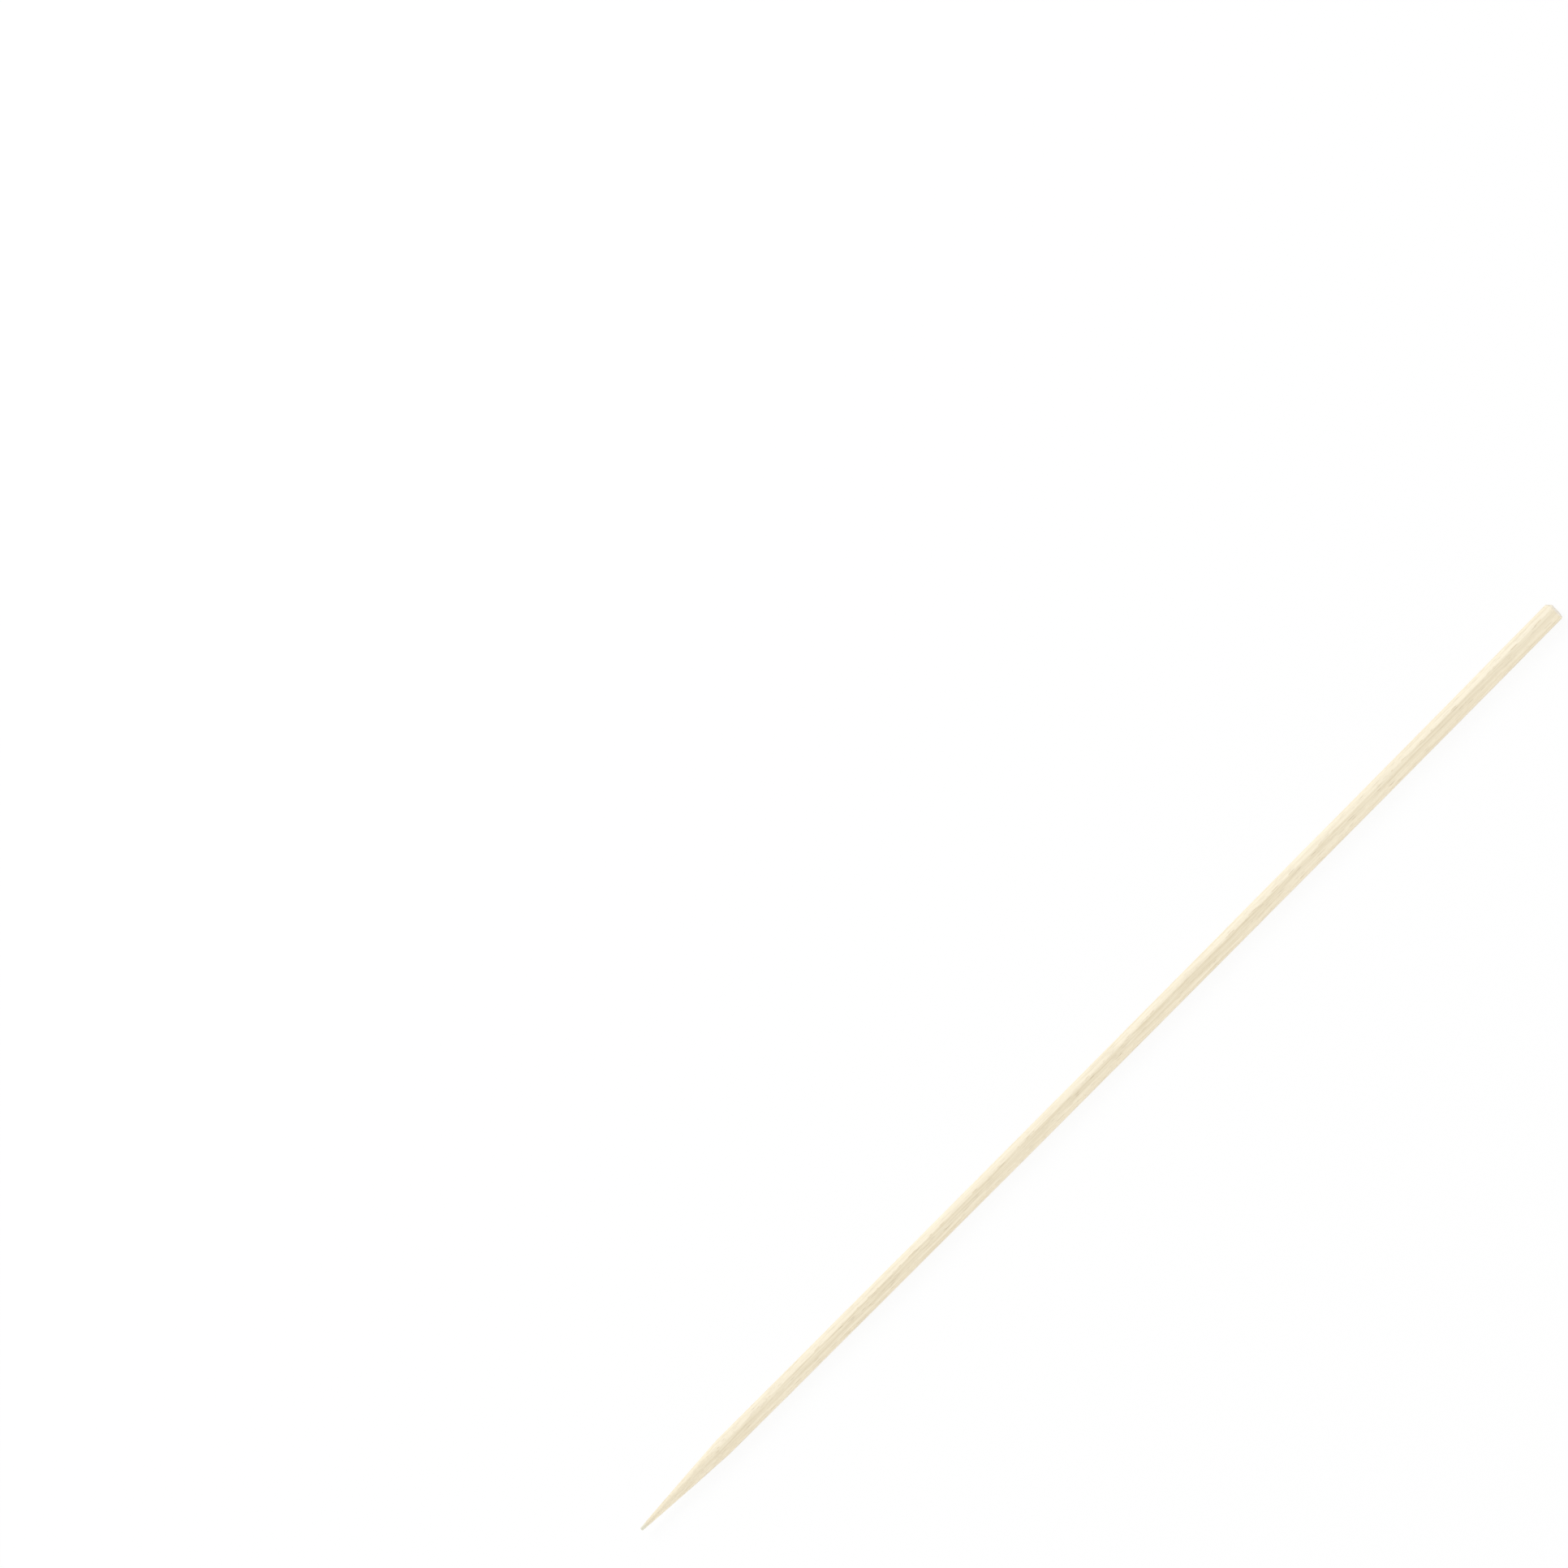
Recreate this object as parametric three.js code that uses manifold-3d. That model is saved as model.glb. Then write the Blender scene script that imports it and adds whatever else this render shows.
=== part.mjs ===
// A bamboo skewer: one round stick with a ground point at one end and a sawn butt at the other.
// Millimetres. The stick lies along X on the floor, point at -X, butt at +X, with the floor at z = 0.

import * as THREE from 'three';
import { mergeVertices } from 'three/addons/utils/BufferGeometryUtils.js';
import Module from 'manifold-3d';

// Sizes of the stick
const LENGTH = 200;
const DIAMETER = 3;

// The strip of bamboo is planed a little thinner than the rounded stick, so that a narrow flat is left along
// two opposite sides, deeper on the side that it lies on than on top
const LOWER_FLAT_DEPTH = 0.09;
const UPPER_FLAT_DEPTH = 0.05;

// The ground point: its length, the width of its blunted tip and how full its curve is (1 is a straight cone)
const POINT_LENGTH = 20;
const TIP_DIAMETER = 0.55;
const POINT_FULLNESS = 1.1;

// The corner of the sawn butt, worn round
const BUTT_EDGE_RADIUS = 0.15;

// The corner that splintered off the butt: how far it goes along the stick and across its end, and the way
// it faces, in degrees round the stick from +Y towards +Z
const CHIP_LENGTH = 0.7;
const CHIP_WIDTH = 0.9;
const CHIP_HEADING = 35;

// The stick dries slightly bent, sideways as it lies, and its point is ground a little off centre
const BOW = 0.28;
const TIP_OFFSET = 0.15;

// How finely the round shapes are divided
const SIDES = 32;
const POINT_STEPS = 16;
const SHANK_STEPS = 12;
const CORNER_STEPS = 3;

const BAMBOO_COLOUR = new THREE.Color().setRGB(0.83, 0.74, 0.56);
const BAMBOO_ROUGHNESS = 0.6;

const radius = DIAMETER / 2;
const axisHeight = radius - LOWER_FLAT_DEPTH;
const thickness = DIAMETER - LOWER_FLAT_DEPTH - UPPER_FLAT_DEPTH;
const tipRadius = TIP_DIAMETER / 2;

const wasm = await Module();
wasm.setup();

// Radius of the stick at a distance from the plane where the rounded tip meets the ground curve
function pointRadius(along) {
  const remaining = 1 - along / (POINT_LENGTH - tipRadius);
  return tipRadius + (radius - tipRadius) * (1 - Math.pow(remaining, POINT_FULLNESS));
}

// Half of the stick's outline, from the tip's pole to the butt's centre: x is the radius, y runs along it
function outline() {
  const points = [];
  for (let i = 0; i <= CORNER_STEPS; i += 1) {
    const angle = (i / CORNER_STEPS) * (Math.PI / 2);
    points.push(new THREE.Vector2(tipRadius * Math.sin(angle), tipRadius * (1 - Math.cos(angle))));
  }
  for (let i = 1; i <= POINT_STEPS; i += 1) {
    const along = (i / POINT_STEPS) * (POINT_LENGTH - tipRadius);
    points.push(new THREE.Vector2(pointRadius(along), tipRadius + along));
  }
  const shankEnd = LENGTH - BUTT_EDGE_RADIUS;
  for (let i = 1; i <= SHANK_STEPS; i += 1) {
    const along = POINT_LENGTH + (i / SHANK_STEPS) * (shankEnd - POINT_LENGTH);
    points.push(new THREE.Vector2(radius, along));
  }
  for (let i = 1; i <= CORNER_STEPS; i += 1) {
    const angle = (i / CORNER_STEPS) * (Math.PI / 2);
    const inset = BUTT_EDGE_RADIUS * (1 - Math.cos(angle));
    points.push(new THREE.Vector2(radius - inset, shankEnd + BUTT_EDGE_RADIUS * Math.sin(angle)));
  }
  points.push(new THREE.Vector2(0, LENGTH));
  return points;
}

// Sideways place of the stick's middle line at a distance from the tip, with half of the bow to each side
function middleLine(along) {
  const share = along / LENGTH;
  const bow = BOW * (0.5 - 4 * share * (1 - share));
  const toTip = Math.max(0, 1 - along / POINT_LENGTH);
  return bow - TIP_OFFSET * toTip;
}

// The whole round stick, laid along X at the height where its lower flat meets the floor, and bent
function roundStick() {
  const geometry = new THREE.LatheGeometry(outline(), SIDES);
  geometry.rotateZ(-Math.PI / 2);
  const place = geometry.getAttribute('position');
  for (let i = 0; i < place.count; i += 1) {
    const along = place.getX(i);
    place.setX(i, along - LENGTH / 2);
    place.setY(i, place.getY(i) + middleLine(along));
    place.setZ(i, place.getZ(i) + axisHeight);
  }
  return geometry;
}

// The strip that the stick is cut from: a slab that leaves its two flat faces on the round stick
function strip() {
  const reach = DIAMETER * 2;
  const geometry = new THREE.BoxGeometry(LENGTH + reach, DIAMETER + reach, thickness);
  geometry.translate(0, 0, thickness / 2);
  return geometry;
}

// The stick without the corner that broke off its butt, which lay beyond a slanted plane
function withoutCorner(solid) {
  const heading = THREE.MathUtils.degToRad(CHIP_HEADING);
  const outwards = new THREE.Vector3(0, Math.cos(heading), Math.sin(heading));
  const onFace = new THREE.Vector3(LENGTH / 2, middleLine(LENGTH), axisHeight);
  onFace.addScaledVector(outwards, radius - CHIP_WIDTH);
  const normal = new THREE.Vector3(CHIP_WIDTH, 0, 0).addScaledVector(outwards, CHIP_LENGTH).normalize();
  return solid.trimByPlane([-normal.x, -normal.y, -normal.z], -normal.dot(onFace));
}

function toSolid(geometry) {
  geometry.deleteAttribute('normal');
  geometry.deleteAttribute('uv');
  const merged = mergeVertices(geometry, 1e-4);
  const vertProperties = new Float32Array(merged.getAttribute('position').array);
  const corners = merged.getIndex().array;
  const triVerts = [];
  for (let i = 0; i < corners.length; i += 3) {
    const [a, b, c] = [corners[i], corners[i + 1], corners[i + 2]];
    if (a !== b && b !== c && c !== a) {
      triVerts.push(a, b, c);
    }
  }
  const mesh = new wasm.Mesh({ numProp: 3, vertProperties, triVerts: new Uint32Array(triVerts) });
  return new wasm.Manifold(mesh);
}

function toGeometry(solid) {
  const mesh = solid.getMesh();
  const geometry = new THREE.BufferGeometry();
  geometry.setAttribute('position', new THREE.BufferAttribute(mesh.vertProperties, mesh.numProp));
  geometry.setIndex(new THREE.BufferAttribute(mesh.triVerts, 1));
  geometry.computeVertexNormals();
  return geometry;
}

const bamboo = new THREE.MeshStandardMaterial({
  color: BAMBOO_COLOUR,
  roughness: BAMBOO_ROUGHNESS,
  metalness: 0,
});

const planed = toSolid(roundStick()).intersect(toSolid(strip()));
const skewer = new THREE.Mesh(toGeometry(withoutCorner(planed)), bamboo);
skewer.name = 'skewer';

const group = new THREE.Group();
group.add(skewer);

export default group;
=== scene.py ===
import math
import random

import bpy
from mathutils import Matrix, Vector, noise


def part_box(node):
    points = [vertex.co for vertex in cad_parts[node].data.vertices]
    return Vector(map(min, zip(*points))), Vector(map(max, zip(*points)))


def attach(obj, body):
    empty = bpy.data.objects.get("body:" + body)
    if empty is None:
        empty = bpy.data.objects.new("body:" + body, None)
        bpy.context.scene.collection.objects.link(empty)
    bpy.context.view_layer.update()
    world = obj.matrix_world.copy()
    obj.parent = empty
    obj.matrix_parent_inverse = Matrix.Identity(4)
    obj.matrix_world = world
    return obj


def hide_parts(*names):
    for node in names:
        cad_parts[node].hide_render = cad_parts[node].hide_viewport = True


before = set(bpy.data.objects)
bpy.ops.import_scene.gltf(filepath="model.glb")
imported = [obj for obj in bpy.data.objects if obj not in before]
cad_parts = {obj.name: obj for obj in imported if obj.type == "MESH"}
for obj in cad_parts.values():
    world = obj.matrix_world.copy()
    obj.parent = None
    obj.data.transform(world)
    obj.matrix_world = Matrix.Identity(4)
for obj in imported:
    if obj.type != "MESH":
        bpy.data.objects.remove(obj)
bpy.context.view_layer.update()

# The stick. A strip of split bamboo is planed on two sides and run through round cutters, which leave a
# narrow flat on each planed side. One end is ground to a long point on a belt, turning, and the other is
# sawn off nearly square. It has dried with a slight bow, and lies on one of its flats.

MM = 0.001
low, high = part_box("skewer")
LOWER_FLAT_DEPTH = 0.09 * MM
UPPER_FLAT_DEPTH = 0.05 * MM
BOW = 0.28 * MM
POINT_LENGTH = 20 * MM
TIP_WIDTH = 0.6 * MM
TIP_ROUNDING = 0.2 * MM
POINT_FULLNESS = 1.1
TIP_OFFSET = 0.15 * MM
BUTT_ROUNDING = 0.14 * MM
SAME_PLACE = 0.001 * MM

SIDES = 96
SHANK_FIRST_CUTS = 99
SHANK_SECOND_CUTS = 3
POINT_STEPS = 60
TIP_STEPS = 5
BUTT_ROUNDING_STEPS = 4
BUTT_RINGS = 9

stick_radius = (high.z - low.z + LOWER_FLAT_DEPTH + UPPER_FLAT_DEPTH) / 2
axis_height = low.z + stick_radius - LOWER_FLAT_DEPTH
tip_radius = TIP_WIDTH / 2
shoulder_x = low.x + POINT_LENGTH
tip_start_x = low.x + TIP_ROUNDING


def point_radius(x):
    """Radius of the ground point at x, between the rounded tip and the shoulder."""
    remaining = (shoulder_x - x) / (shoulder_x - tip_start_x)
    return tip_radius + (stick_radius - tip_radius) * (1 - remaining ** POINT_FULLNESS)


def point_shift(x):
    """How far to the side the point's middle lies at x, because it was ground a little off centre."""
    return -TIP_OFFSET * (shoulder_x - x) / POINT_LENGTH


def select_parts(mesh_object, kind, wanted):
    """Selects, in edit mode, the vertices, edges or faces that wanted accepts, and nothing else."""
    bpy.ops.object.mode_set(mode="EDIT")
    bpy.ops.mesh.select_mode(type=kind)
    bpy.ops.mesh.select_all(action="DESELECT")
    bpy.ops.object.mode_set(mode="OBJECT")
    parts = {"VERT": "vertices", "EDGE": "edges", "FACE": "polygons"}[kind]
    mesh = mesh_object.data
    for part in getattr(mesh, parts):
        part.select = wanted(mesh, part)
    bpy.ops.object.mode_set(mode="EDIT")


def edge_runs_along(mesh, edge):
    first, second = (mesh.vertices[i].co for i in edge.vertices)
    return abs(first.x - second.x) > 0.9 * (first - second).length


def end_face_at(x):
    return lambda mesh, face: abs(face.center.x - x) < SAME_PLACE and abs(face.normal.x) > 0.99


bpy.ops.object.select_all(action="DESELECT")
bpy.ops.mesh.primitive_cylinder_add(
    vertices=SIDES, radius=stick_radius, depth=high.x - shoulder_x, end_fill_type="NGON",
    location=((high.x + shoulder_x) / 2, 0, axis_height), rotation=(0, math.pi / 2, 0))
stick = bpy.context.object
stick.name = "bamboo_stick"
bpy.ops.object.transform_apply(location=True, rotation=True, scale=True)

# The shank is divided along its length, finely enough to carry its fibres
select_parts(stick, "EDGE", edge_runs_along)
bpy.ops.mesh.subdivide(number_cuts=SHANK_FIRST_CUTS)
select_parts(stick, "EDGE", edge_runs_along)
bpy.ops.mesh.subdivide(number_cuts=SHANK_SECOND_CUTS)

# The point is drawn out of the shoulder in short steps, each narrower than the last, and its tip is closed
select_parts(stick, "FACE", end_face_at(shoulder_x))
stations = [shoulder_x + (tip_start_x - shoulder_x) * i / POINT_STEPS for i in range(POINT_STEPS + 1)]
section = [(x, point_radius(x)) for x in stations]
for i in range(1, TIP_STEPS + 1):
    angle = math.pi / 2 * i / (TIP_STEPS + 0.5)
    section.append((tip_start_x - TIP_ROUNDING * math.sin(angle), tip_radius * math.cos(angle)))
for (x_before, r_before), (x, r) in zip(section, section[1:]):
    sideways = point_shift(x) - point_shift(x_before)
    bpy.ops.mesh.extrude_region_move(TRANSFORM_OT_translate={"value": (x - x_before, sideways, 0)})
    bpy.ops.transform.resize(
        value=(1, r / r_before, r / r_before), center_override=(x, point_shift(x), axis_height))
bpy.ops.mesh.poke()

# The sawn butt: its corner is rounded, and its face is divided into rings and closed in the middle
select_parts(stick, "FACE", end_face_at(high.x))
bpy.ops.mesh.bevel(offset=BUTT_ROUNDING, segments=BUTT_ROUNDING_STEPS, affect="EDGES")
select_parts(stick, "FACE", end_face_at(high.x))
ring_width = (stick_radius - BUTT_ROUNDING) / (BUTT_RINGS + 0.5)
for i in range(BUTT_RINGS):
    bpy.ops.mesh.inset(thickness=ring_width)
bpy.ops.mesh.poke()

# The two planed flats: what stands above each is pressed down to its plane
for height, side in ((high.z, 1), (low.z, -1)):
    select_parts(stick, "VERT", lambda mesh, vertex: (vertex.co.z - height) * side > 0)
    bpy.ops.transform.resize(value=(1, 1, 0), center_override=(0, 0, height))
bpy.ops.object.mode_set(mode="OBJECT")

# Fibres stand proud and pores lie open along the stick, and its side waves a little. Sizes from here to the
# relief's functions are in mm, and a length and a width are those of one fibre, pore or wave.
FIBRE_DEPTH = 0.008
FIBRE_LENGTH = 14
FIBRE_WIDTH = 0.26
PORE_DEPTH = 0.006
PORE_LENGTH = 4
PORE_WIDTH = 0.12
WAVE_DEPTH = 0.014
WAVE_LENGTH = 11

# The belt leaves the point uneven, in lumps with small steps on them, which reach their full depth 4 mm
# beyond the shoulder
LUMP_DEPTH = 0.03
LUMP_LENGTH = 2.6
LUMP_STEP_LENGTH = 0.7
LUMPS_FULL = 4

# The planer's knife leaves the upper flat uneven, but not its last 7 mm before the butt
FLAT_WANDER = 0.035
FLAT_WAVE_LENGTH = 9
FLAT_BITE_LENGTH = 3.1
FLAT_FIBRE_LENGTH = 12
FLAT_FIBRE_WIDTH = 0.3
FLAT_STEADY = 25

# The saw cut slants, with the stick longest on the side where its corner broke off. It has ridges and
# pores, and its rim is frayed.
CHIP_SIDE = Vector((0, 0.82, 0.57))
SAW_DEPTH = 0.03
SAW_RIDGE_LENGTH = 1.6
SAW_RIDGE_WIDTH = 0.16
SAW_PIT_WIDTH = 0.2
SAW_SLANT = 0.24
SAW_REACH = 1.2
RIM_FRAY = 0.04
FRAY_WIDTH = 0.16

# Torn strands leave long grooves: where along the stick, half their length, where round the stick, half
# their width, and their depth. The last one is chosen, and runs out at the butt.
GROOVES = 16
GROOVE_PLACES = (-70, 95)
GROOVE_HALF_LENGTHS = (4, 14)
GROOVE_HALF_WIDTHS = (0.05, 0.11)
GROOVE_DEPTHS = (0.015, 0.04)
GROOVE_WANDER = 0.15
GROOVE_WANDER_LENGTH = 9
BUTT_GROOVE = (99.3, 1.6, math.radians(100), 0.07, 0.035)
rng = random.Random(7)
grooves = [
    (rng.uniform(*GROOVE_PLACES), rng.uniform(*GROOVE_HALF_LENGTHS), rng.uniform(0, math.tau),
     rng.uniform(*GROOVE_HALF_WIDTHS), rng.uniform(*GROOVE_DEPTHS))
    for i in range(GROOVES)]
grooves.append(BUTT_GROOVE)


def groove_depth(x, angle):
    """Depth, in mm, of the torn strands at a place on the shank."""
    depth = 0
    for centre, half_length, heading, half_width, deepest in grooves:
        run = abs(x - centre) / half_length
        if run < 1:
            wander = GROOVE_WANDER * noise.noise(Vector((x / GROOVE_WANDER_LENGTH, heading, 0)))
            turn_away = math.remainder(angle - heading - wander, math.tau)
            beside = abs(turn_away) * stick_radius / MM / half_width
            if beside < 1:
                depth = max(depth, deepest * (1 - run * run) * (1 - beside * beside))
    return depth


def side_relief(x, y, z, angle):
    """How deep, in mm, the side of the stick lies under its round form."""
    fibres = noise.noise(Vector((x / FIBRE_LENGTH, y / FIBRE_WIDTH, z / FIBRE_WIDTH)))
    pores = noise.noise(Vector((x / PORE_LENGTH, y / PORE_WIDTH + 40, z / PORE_WIDTH)))
    waves = noise.noise(Vector((x / WAVE_LENGTH, math.cos(angle) * 0.7, math.sin(angle) * 0.7)))
    depth = FIBRE_DEPTH * (1 + fibres) + PORE_DEPTH * (1 + pores) + WAVE_DEPTH * (0.6 + waves)
    ground = min(1, max(0, (shoulder_x / MM - x) / LUMPS_FULL))
    lumps = noise.noise(Vector((x / LUMP_LENGTH, math.cos(angle) * 0.8, math.sin(angle) * 0.8 + 9)))
    steps = noise.noise(Vector((x / LUMP_STEP_LENGTH, 3, math.cos(angle) * 0.3)))
    depth += ground * LUMP_DEPTH * (0.5 + lumps + 0.25 * steps)
    return max(0, depth + groove_depth(x, angle))


def saw_slant(y, z):
    """How deep, in mm, the slanted cut lies under a square one."""
    return SAW_SLANT * (0.5 - 0.5 * (y * CHIP_SIDE.y + z * CHIP_SIDE.z) / (stick_radius / MM))


def saw_relief(y, z):
    """How deep, in mm, the sawn face lies under the plane of the cut: ridges across it, and pores."""
    ridges = noise.noise(Vector((y / SAW_RIDGE_LENGTH, z / SAW_RIDGE_WIDTH, 5)))
    pits = noise.noise(Vector((y / SAW_PIT_WIDTH, z / SAW_PIT_WIDTH, 11)))
    return SAW_DEPTH * (0.6 + 0.4 * ridges + 0.4 * pits)


def rim_fray(y, z):
    """How far, in mm, frayed fibres at the rim of the cut have worn away."""
    return RIM_FRAY * max(0, noise.noise(Vector((y / FRAY_WIDTH, z / FRAY_WIDTH, 21))))


def flat_dip(x, y):
    """How deep, in mm, the upper flat lies under its highest plane, where the knife bit unevenly."""
    bites = noise.noise(Vector((x / FLAT_WAVE_LENGTH, 0, 0)))
    bites += 0.6 * noise.noise(Vector((x / FLAT_BITE_LENGTH, 0, 7)))
    fibres = noise.noise(Vector((x / FLAT_FIBRE_LENGTH, y / FLAT_FIBRE_WIDTH, 0)))
    from_butt = min(1, max(0, (high.x / MM - x) / FLAT_STEADY - 0.3))
    return FLAT_WANDER * from_butt * max(0, 0.35 + bites + 0.3 * fibres)


for vertex in stick.data.vertices:
    x, y, z = vertex.co.x / MM, vertex.co.y / MM, (vertex.co.z - axis_height) / MM
    on_point = vertex.co.x < shoulder_x
    on_rim = vertex.co.x > high.x - BUTT_ROUNDING
    on_butt = vertex.co.x > high.x - SAME_PLACE
    middle_y = point_shift(vertex.co.x) / MM if on_point else 0
    distance = math.hypot(y - middle_y, z)
    if distance > 0 and not on_butt:
        depth = side_relief(x, y, z, math.atan2(z, y - middle_y)) * min(1, distance / (stick_radius / MM))
        vertex.co.y -= depth * MM * (y - middle_y) / distance
        vertex.co.z -= depth * MM * z / distance
    end_share = min(1, max(0, 1 - ((high.x - BUTT_ROUNDING) / MM - x) / SAW_REACH))
    vertex.co.x -= saw_slant(y, z) * end_share * MM
    if on_rim:
        vertex.co.x -= rim_fray(y, z) * MM
    if on_butt:
        vertex.co.x -= saw_relief(y, z) * MM
    vertex.co.z = min(vertex.co.z, high.z - flat_dip(x, y) * MM)

# The slight bow, sideways as the stick lies
for vertex in stick.data.vertices:
    share = (vertex.co.x - low.x) / (high.x - low.x)
    vertex.co.y += BOW * (0.5 - 4 * share * (1 - share))

# A corner of the butt splintered off. It is taken away with a block whose near side is as uneven as the
# torn fibres that it leaves. The sizes of the tear are in mm, like those of the relief.
CHIP_LENGTH = 0.7 * MM
CHIP_WIDTH = 0.9 * MM
CHIP_TEAR = 0.144
SPLINTER_LENGTH = 3
SPLINTER_WIDTH = 0.2
HAIR_LENGTH = 2
HAIR_WIDTH = 0.08
CHIP_BLOCK = 2.6 * MM
CHIP_BLOCK_CUTS = 56

chip_normal = (Vector((CHIP_WIDTH, 0, 0)) + CHIP_SIDE * CHIP_LENGTH).normalized()
chip_point = Vector((high.x, BOW / 2, axis_height)) + CHIP_SIDE * (stick_radius - CHIP_WIDTH)

bpy.ops.object.select_all(action="DESELECT")
bpy.ops.mesh.primitive_cube_add(
    size=CHIP_BLOCK, location=chip_point + chip_normal * CHIP_BLOCK / 2,
    rotation=chip_normal.to_track_quat("Z", "Y").to_euler())
block = bpy.context.object
bpy.ops.object.transform_apply(location=True, rotation=True, scale=True)
select_parts(block, "FACE", lambda mesh, face: face.normal.dot(chip_normal) < -0.99)
bpy.ops.mesh.subdivide(number_cuts=CHIP_BLOCK_CUTS)
bpy.ops.object.mode_set(mode="OBJECT")
for vertex in block.data.vertices:
    if abs((vertex.co - chip_point).dot(chip_normal)) < SAME_PLACE:
        x, y, z = vertex.co / MM
        torn = noise.noise(Vector((x / SPLINTER_LENGTH, y / SPLINTER_WIDTH, z / SPLINTER_WIDTH)))
        torn += 0.5 * noise.noise(Vector((x / HAIR_LENGTH, y / HAIR_WIDTH, z / HAIR_WIDTH + 13)))
        vertex.co.x -= CHIP_TEAR * torn * MM

cut = stick.modifiers.new("broken_corner", "BOOLEAN")
cut.operation = "DIFFERENCE"
cut.solver = "EXACT"
cut.object = block
bpy.ops.object.select_all(action="DESELECT")
stick.select_set(True)
bpy.context.view_layer.objects.active = stick
bpy.ops.object.modifier_apply(modifier=cut.name)
bpy.ops.object.select_all(action="DESELECT")
block.select_set(True)
bpy.ops.object.delete()

bpy.ops.object.select_all(action="DESELECT")
stick.select_set(True)
bpy.context.view_layer.objects.active = stick
bpy.ops.object.shade_smooth_by_angle(angle=math.radians(40))

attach(stick, "root")
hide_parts("skewer")

# The bamboo's own look, the same right through the stick: pale ground tissue, with harder, browner strands
# that run its whole length and wander a little, and fine open pores. The cutters and the belt only lay it
# bare, so strands show as streaks on the shank, as flames on the point and as dots on the sawn butt.
# Over it lie a painted highlight on the upper flat and painted light on the sawn end, which are not the
# bamboo's own.

GROUND_COLOUR = (0.89, 0.80, 0.61, 1)
STRAND_COLOUR = (0.73, 0.63, 0.435, 1)
PORE_COLOUR = (0.46, 0.36, 0.22, 1)
LINE_COLOUR = (0.62, 0.50, 0.31, 1)
PALE_COLOUR = (0.95, 0.875, 0.70, 1)
# The sawn end's colour: greyer end grain, painted paler as painted light on the end face
END_GRAIN_PAINTED_LIGHT_COLOUR = (0.945, 0.87, 0.75, 1)
TIP_COLOUR = (0.74, 0.75, 0.64, 1)
# A painted highlight for the upper flat
FLAT_HIGHLIGHT_COLOUR = (0.955, 0.90, 0.77, 1)
STRAND_SPACING = 0.5
STRAND_WANDER = 0.9
TIP_STAIN_LENGTH = 2.4
BUMP_HEIGHT = 0.022 * MM


class Value:
    """A socket in a material's node tree. Sums of values, written in Python, add Math nodes."""

    def __init__(self, tree, socket):
        self.tree = tree
        self.socket = socket

    def math(self, operation, *others):
        made = self.tree.nodes.new("ShaderNodeMath")
        made.operation = operation
        for place, other in zip(made.inputs, (self,) + others):
            put(self.tree, place, other)
        return Value(self.tree, made.outputs[0])

    def output(self, name):
        """Another output of the node that this value comes from."""
        return Value(self.tree, self.socket.node.outputs[name])

    def __add__(self, other):
        return self.math("ADD", other)

    def __radd__(self, other):
        return self.math("ADD", other)

    def __sub__(self, other):
        return self.math("SUBTRACT", other)

    def __rsub__(self, other):
        return self.math("MULTIPLY", -1) + other

    def __mul__(self, other):
        return self.math("MULTIPLY", other)

    def __rmul__(self, other):
        return self.math("MULTIPLY", other)

    def __truediv__(self, other):
        return self.math("DIVIDE", other)


def put(tree, socket, what):
    """Links a value into a socket, or sets the socket to a plain number, colour or vector."""
    if isinstance(what, Value):
        tree.links.new(what.socket, socket)
    else:
        socket.default_value = what


class Recipe:
    """The node tree of a material, or of the world."""

    def __init__(self, owner, ending="OutputMaterial"):
        owner.use_nodes = True
        self.tree = owner.node_tree
        self.tree.nodes.clear()
        self.ending = ending

    def node(self, kind, settings, sockets, output=0):
        """Adds a node: its settings are set first, then the values or links of its sockets."""
        made = self.tree.nodes.new("ShaderNode" + kind)
        for name, setting in settings.items():
            setattr(made, name, setting)
        for name, what in sockets.items():
            put(self.tree, made.inputs[name], what)
        return Value(self.tree, made.outputs[output])

    def surface(self, shader):
        put(self.tree, self.tree.nodes.new("ShaderNode" + self.ending).inputs["Surface"], shader)

    def between(self, value, start, end):
        """0 where value is at start, 1 where it is at end, and smooth between."""
        settings = {"interpolation_type": "SMOOTHSTEP"}
        return self.node("MapRange", settings, {"Value": value, "From Min": start, "From Max": end})

    def tint(self, colour, tint, mask, strength):
        """The colour with a tint over it where the mask is 1, and never more of it than the strength."""
        return self.node("Mix", {"data_type": "RGBA"}, {0: mask * strength, 6: colour, 7: tint}, output=2)

    def vector(self, x, y, z):
        return self.node("CombineXYZ", {}, {"X": x, "Y": y, "Z": z})

    def grain(self, x, y, z, detail=2.0):
        """Noise from 0 to 1 at a place that is already scaled."""
        return self.node("TexNoise", {"noise_dimensions": "3D"}, {
            "Vector": self.vector(x, y, z), "Scale": 1.0, "Detail": detail, "Roughness": 0.55})


bamboo_material = bpy.data.materials.new("bamboo")
bamboo = Recipe(bamboo_material)
place = bamboo.node("TexCoord", {}, {}, output="Object")
coordinates = bamboo.node("SeparateXYZ", {}, {"Vector": place})
x = coordinates.output("X") * (1 / MM)
y = coordinates.output("Y") * (1 / MM)
z = coordinates.output("Z") * (1 / MM)

# The strands wander sideways and up and down along the culm
strand_y = y + (bamboo.grain(x / 38, y / 6, z / 6) - 0.5) * STRAND_WANDER
strand_z = z + (bamboo.grain(x / 33, y / 6, z / 6 + 17) - 0.5) * STRAND_WANDER


def tissue(length, width, shift=0, detail=2.0):
    """Noise from 0 to 1 in spots of this length and width, in mm, drawn out along the strands."""
    return bamboo.grain(x / length, strand_y / width, strand_z / width + shift, detail)


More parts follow.
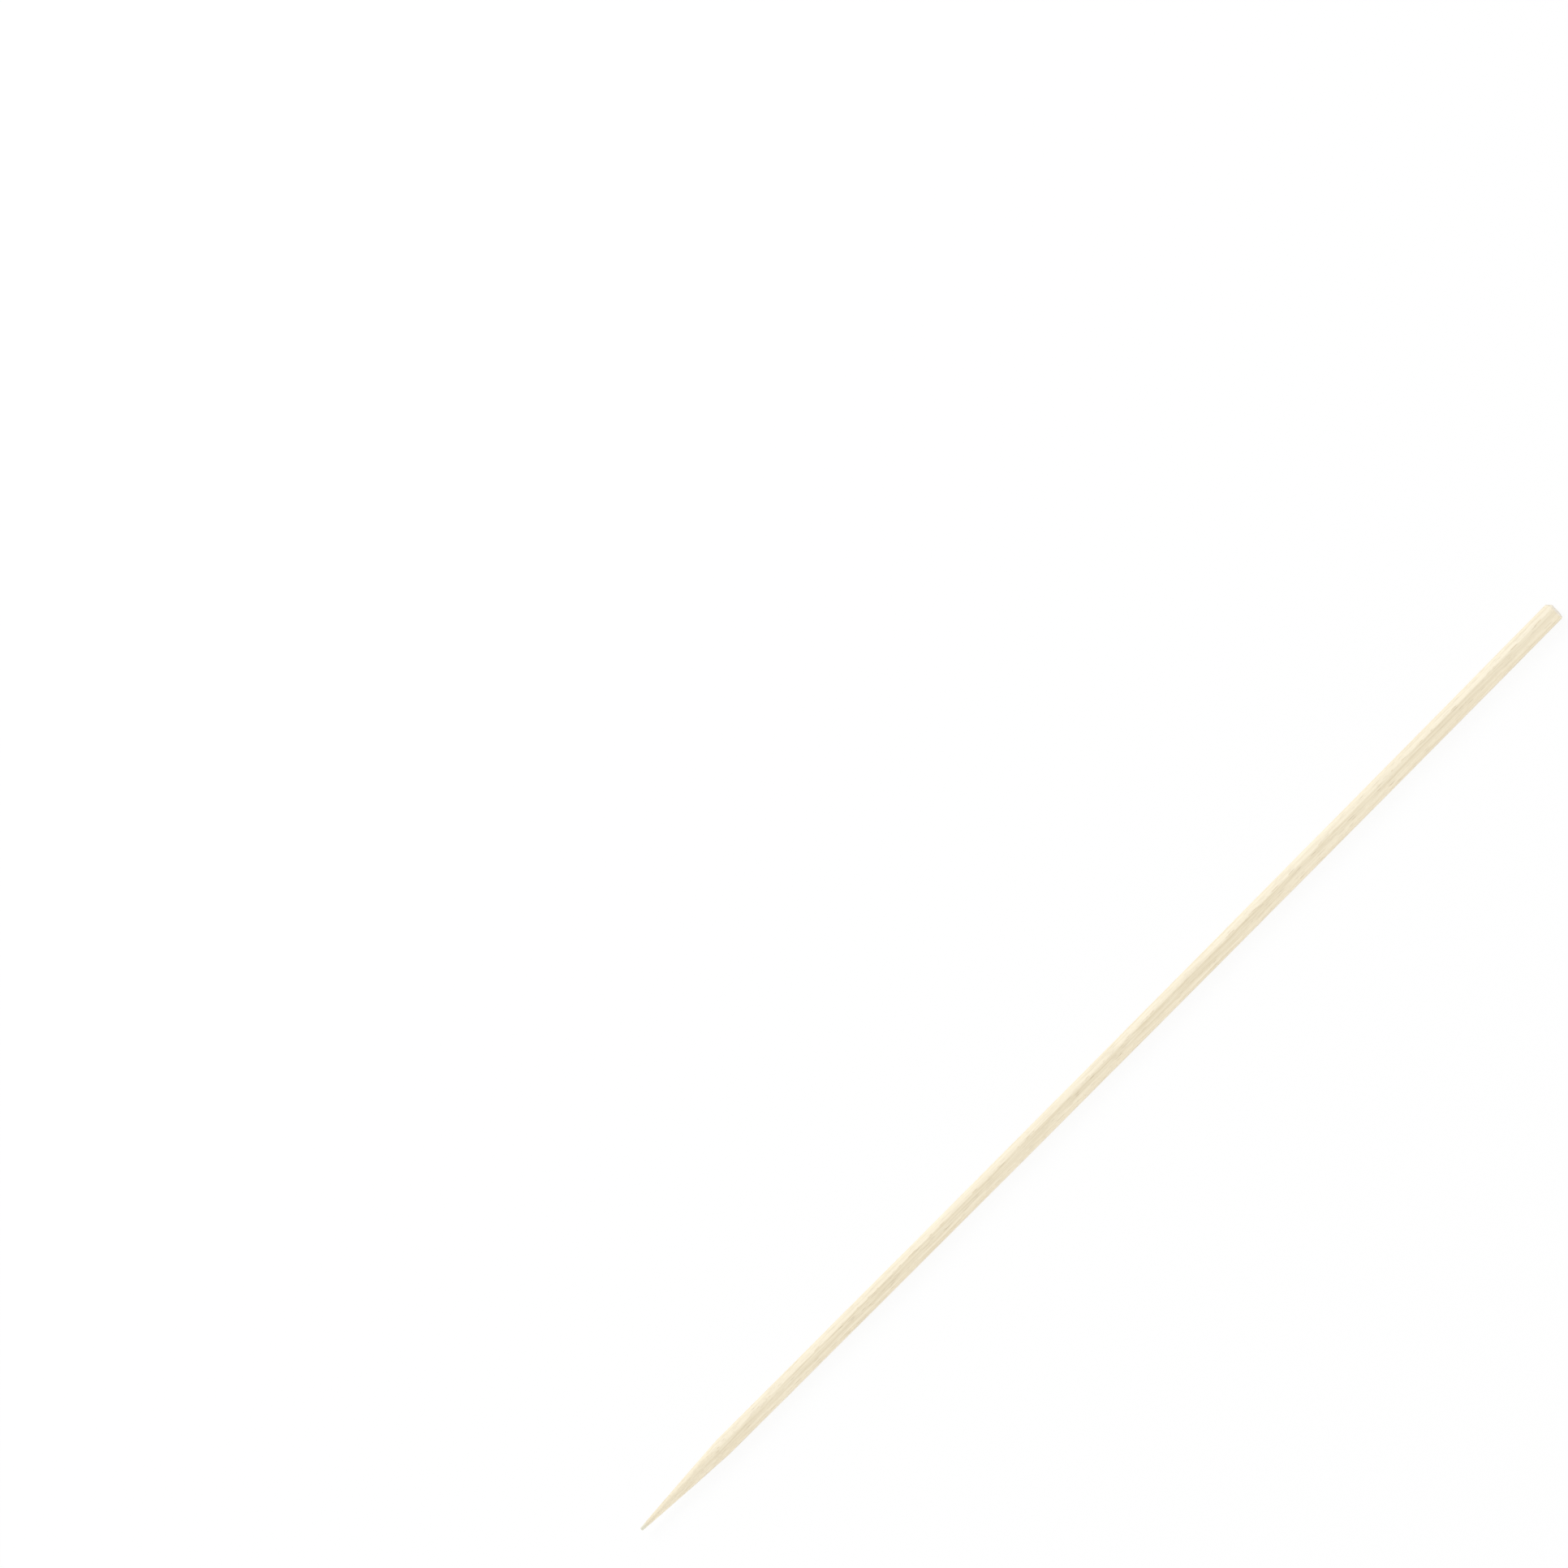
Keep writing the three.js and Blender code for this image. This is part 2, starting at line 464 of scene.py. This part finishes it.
cells = bamboo.node("TexVoronoi", {"voronoi_dimensions": "2D", "feature": "F1"}, {
    "Vector": bamboo.vector(strand_y / STRAND_SPACING, strand_z / STRAND_SPACING, 0),
    "Scale": 1.0, "Randomness": 0.85})
cell_tint = bamboo.node("SeparateColor", {}, {"Color": cells.output("Color")})
strand = bamboo.between(cells, 0.42, 0.18) * (0.35 + cell_tint * 0.65)

coarse = tissue(length=16, width=0.3)
fine = tissue(length=5, width=0.11)
hair = tissue(length=9, width=0.05, detail=1.0)
line = bamboo.between(tissue(length=22, width=0.036, shift=70, detail=1.0), 0.56, 0.72)
pore = bamboo.between(tissue(length=2.2, width=0.095, shift=30, detail=1.0), 0.65, 0.76)
slow = bamboo.grain(x / 45, y / 2.2, z / 2.2 + 50)
point = bamboo.between(x, shoulder_x / MM + 2, shoulder_x / MM - 4)

colour = bamboo.tint(GROUND_COLOUR, STRAND_COLOUR, strand, strength=0.75)
colour = bamboo.tint(colour, STRAND_COLOUR, bamboo.between(coarse, 0.42, 0.62), strength=0.4)
colour = bamboo.tint(colour, PALE_COLOUR, bamboo.between(fine, 0.45, 0.7), strength=0.45)
colour = bamboo.tint(colour, STRAND_COLOUR, bamboo.between(hair, 0.55, 0.75), strength=0.3)
colour = bamboo.tint(colour, LINE_COLOUR, line, strength=0.4)
colour = bamboo.tint(colour, PALE_COLOUR, bamboo.between(slow, 0.4, 0.65), strength=0.18)
colour = bamboo.tint(colour, PORE_COLOUR, pore, strength=0.55 - point * 0.3)

# The upper flat is painted paler, a painted highlight where the lamp above and behind lights it, with fibres
# lifted here and there along its lower edge
share = (x - low.x / MM) / ((high.x - low.x) / MM)
middle_y = (0.5 - 4 * share * (1 - share)) * (BOW / MM)
flat = bamboo.between(z, high.z / MM - 0.09, high.z / MM - 0.03)
colour = bamboo.tint(colour, FLAT_HIGHLIGHT_COLOUR, flat, strength=0.22)
half_flat = math.sqrt(stick_radius ** 2 - (stick_radius - UPPER_FLAT_DEPTH) ** 2) / MM
edge_wander = (bamboo.grain(x / 3, 8, 0) - 0.5) * 0.3
beside_edge = (y - middle_y + half_flat + edge_wander).math("ABSOLUTE")
lifted = bamboo.between(beside_edge, 0.11, 0.05) * bamboo.between(bamboo.grain(x / 2.4, 0, 31), 0.52, 0.62)
colour = bamboo.tint(colour, LINE_COLOUR, lifted * flat, strength=0.5)

# The sawn end grain is greyer, and painted paler than the side as painted light, standing in for light the
# end face does not get; its dots are the cut strands, each with an open pore in its middle
upwards = (y * CHIP_SIDE.y + (z - axis_height / MM) * CHIP_SIDE.z) / (stick_radius / MM)
under_cut = (high.x / MM - SAW_SLANT * 0.5) + upwards * (SAW_SLANT * 0.5) - x
butt = bamboo.between(under_cut, 0.13, 0.06)
colour = bamboo.tint(colour, END_GRAIN_PAINTED_LIGHT_COLOUR, butt, strength=0.8)
ragged = cells + (fine - 0.5) * 0.3
dots = bamboo.between(ragged, 0.30, 0.22)
dot_middles = bamboo.between(ragged, 0.07, 0.04)
colour = bamboo.tint(colour, STRAND_COLOUR, butt * dots, strength=0.3 + cell_tint * 0.6)
colour = bamboo.tint(colour, PORE_COLOUR, butt * dot_middles, strength=cell_tint * 0.8)

# Where the corner broke off, the torn fibres are pale, and the tip is stained a greenish grey
beyond_tear = x * chip_normal.x + y * chip_normal.y + z * chip_normal.z - chip_point.dot(chip_normal) / MM
colour = bamboo.tint(colour, PALE_COLOUR, bamboo.between(beyond_tear, -0.2, -0.06), strength=0.5)
tip = bamboo.between(x, low.x / MM + TIP_STAIN_LENGTH, low.x / MM + 0.3)
colour = bamboo.tint(colour, TIP_COLOUR, tip, strength=0.75)

roughness = 0.5 - strand * 0.08 + (fine - 0.5) * 0.15 + pore * 0.2
height = fine * 0.5 + hair * 0.4 - line * 0.25 - pore * 0.6
bump = bamboo.node("Bump", {}, {"Height": height, "Distance": BUMP_HEIGHT, "Strength": 0.9})
shader = bamboo.node("BsdfPrincipled", {}, {
    "Base Color": colour, "Roughness": roughness, "Normal": bump, "Specular IOR Level": 0.5,
    "Sheen Weight": 0.25, "Sheen Roughness": 0.4})
bamboo.surface(shader)
stick.data.materials.append(bamboo_material)

# The floor: a plain, matt, pale table top that the stick lies on, and no part of it. It lights the stick
# from below as pale paper would. The camera sees it nearly as white as the background, so that only the
# stick's own soft shadow shows on it.

FLOOR_SIZE = 4.0
FLOOR_GAP = 0.02 * MM
FLOOR_COLOUR = (0.92, 0.92, 0.92, 1)
FLOOR_SEEN = (0.08, 0.08, 0.08, 1)
FLOOR_GLOW = 0.915
WHITE = (1, 1, 1, 1)

bpy.ops.object.select_all(action="DESELECT")
bpy.ops.mesh.primitive_plane_add(size=FLOOR_SIZE, location=(0, 0, low.z - FLOOR_GAP))
floor = bpy.context.object
floor.name = "floor"


def seen_directly(recipe):
    """1 for what the camera sees, also in a reflection or through glass, and 0 for what lights the scene."""
    camera_ray = recipe.node("LightPath", {}, {}, output="Is Camera Ray")
    seen = camera_ray.math("MAXIMUM", camera_ray.output("Is Glossy Ray"))
    return seen.math("MAXIMUM", camera_ray.output("Is Transmission Ray"))


table_material = bpy.data.materials.new("white_table")
table = Recipe(table_material)
matt = table.node("BsdfDiffuse", {}, {"Color": FLOOR_COLOUR})
dimmed = table.node("BsdfDiffuse", {}, {"Color": FLOOR_SEEN})
glow = table.node("Emission", {}, {"Color": WHITE, "Strength": FLOOR_GLOW})
both = table.node("AddShader", {}, {0: dimmed, 1: glow})
table.surface(table.node("MixShader", {}, {0: seen_directly(table), 1: matt, 2: both}))
floor.data.materials.append(table_material)

# The light is soft and plain: an even white room, a broad lamp above and behind the stick, and a weaker
# one in front of it.

ROOM_STRENGTH = 0.725
LAMP_DISTANCE = 1.4

# Each lamp's width in metres, its watts, its angle round the stick, up from -Y, and its angle towards
# the butt
LAMPS = (
    ("back_lamp", 1.2, 10.4, math.radians(137), math.radians(-8)),
    ("front_lamp", 0.4, 4.7, math.radians(6), math.radians(8)),
)

world = bpy.data.worlds.new("room")
bpy.context.scene.world = world
room = Recipe(world, "OutputWorld")
strength = seen_directly(room) * (1 - ROOM_STRENGTH) + ROOM_STRENGTH
room.surface(room.node("Background", {}, {"Color": WHITE, "Strength": strength}))

for name, size, watts, lamp_round, lamp_along in LAMPS:
    lamp_data = bpy.data.lights.new(name, "AREA")
    lamp_data.shape = "DISK"
    lamp_data.size = size
    lamp_data.energy = watts
    lamp = bpy.data.objects.new(name, lamp_data)
    bpy.context.scene.collection.objects.link(lamp)
    lamp_side = Vector((
        math.sin(lamp_along),
        -math.cos(lamp_along) * math.cos(lamp_round),
        math.cos(lamp_along) * math.sin(lamp_round)))
    lamp.location = lamp_side * LAMP_DISTANCE
    lamp.rotation_euler = lamp_side.to_track_quat("Z", "Y").to_euler()

# The camera looks down on the stick from its butt end and a little to its side, rolled so that the stick
# runs from the lower left to the upper right of the picture.

CAMERA_TILT = math.radians(16.64)
CAMERA_ROUND = math.radians(47.7)
CAMERA_ROLL = math.radians(2.36)
CAMERA_DISTANCE = 483.0 * MM
CAMERA_RIGHT = -42.56 * MM
CAMERA_UP = 46.24 * MM
FOCAL_PIXELS = 4026
PICTURE_PIXELS = 1932
SENSOR = 36

back = Vector((
    math.sin(CAMERA_TILT),
    -math.cos(CAMERA_TILT) * math.cos(CAMERA_ROUND),
    math.cos(CAMERA_TILT) * math.sin(CAMERA_ROUND)))
across = Vector((1, 0, 0)).cross(back).normalized()
along = back.cross(across)
slope = math.radians(45) + CAMERA_ROLL
right = along * math.cos(slope) + across * math.sin(slope)
up = along * math.sin(slope) - across * math.cos(slope)

camera_data = bpy.data.cameras.new("camera")
camera = bpy.data.objects.new("camera", camera_data)
bpy.context.scene.collection.objects.link(camera)
camera_data.sensor_fit = "HORIZONTAL"
camera_data.sensor_width = SENSOR
camera_data.lens = FOCAL_PIXELS * SENSOR / PICTURE_PIXELS
camera_data.clip_start = 0.01
turn = Matrix((right, up, back)).transposed().to_4x4()
middle = Vector((0, 0, axis_height))
camera.matrix_world = Matrix.Translation(
    middle + back * CAMERA_DISTANCE + right * CAMERA_RIGHT + up * CAMERA_UP) @ turn
bpy.context.scene.camera = camera

view = bpy.context.scene.view_settings
view.view_transform = "Standard"
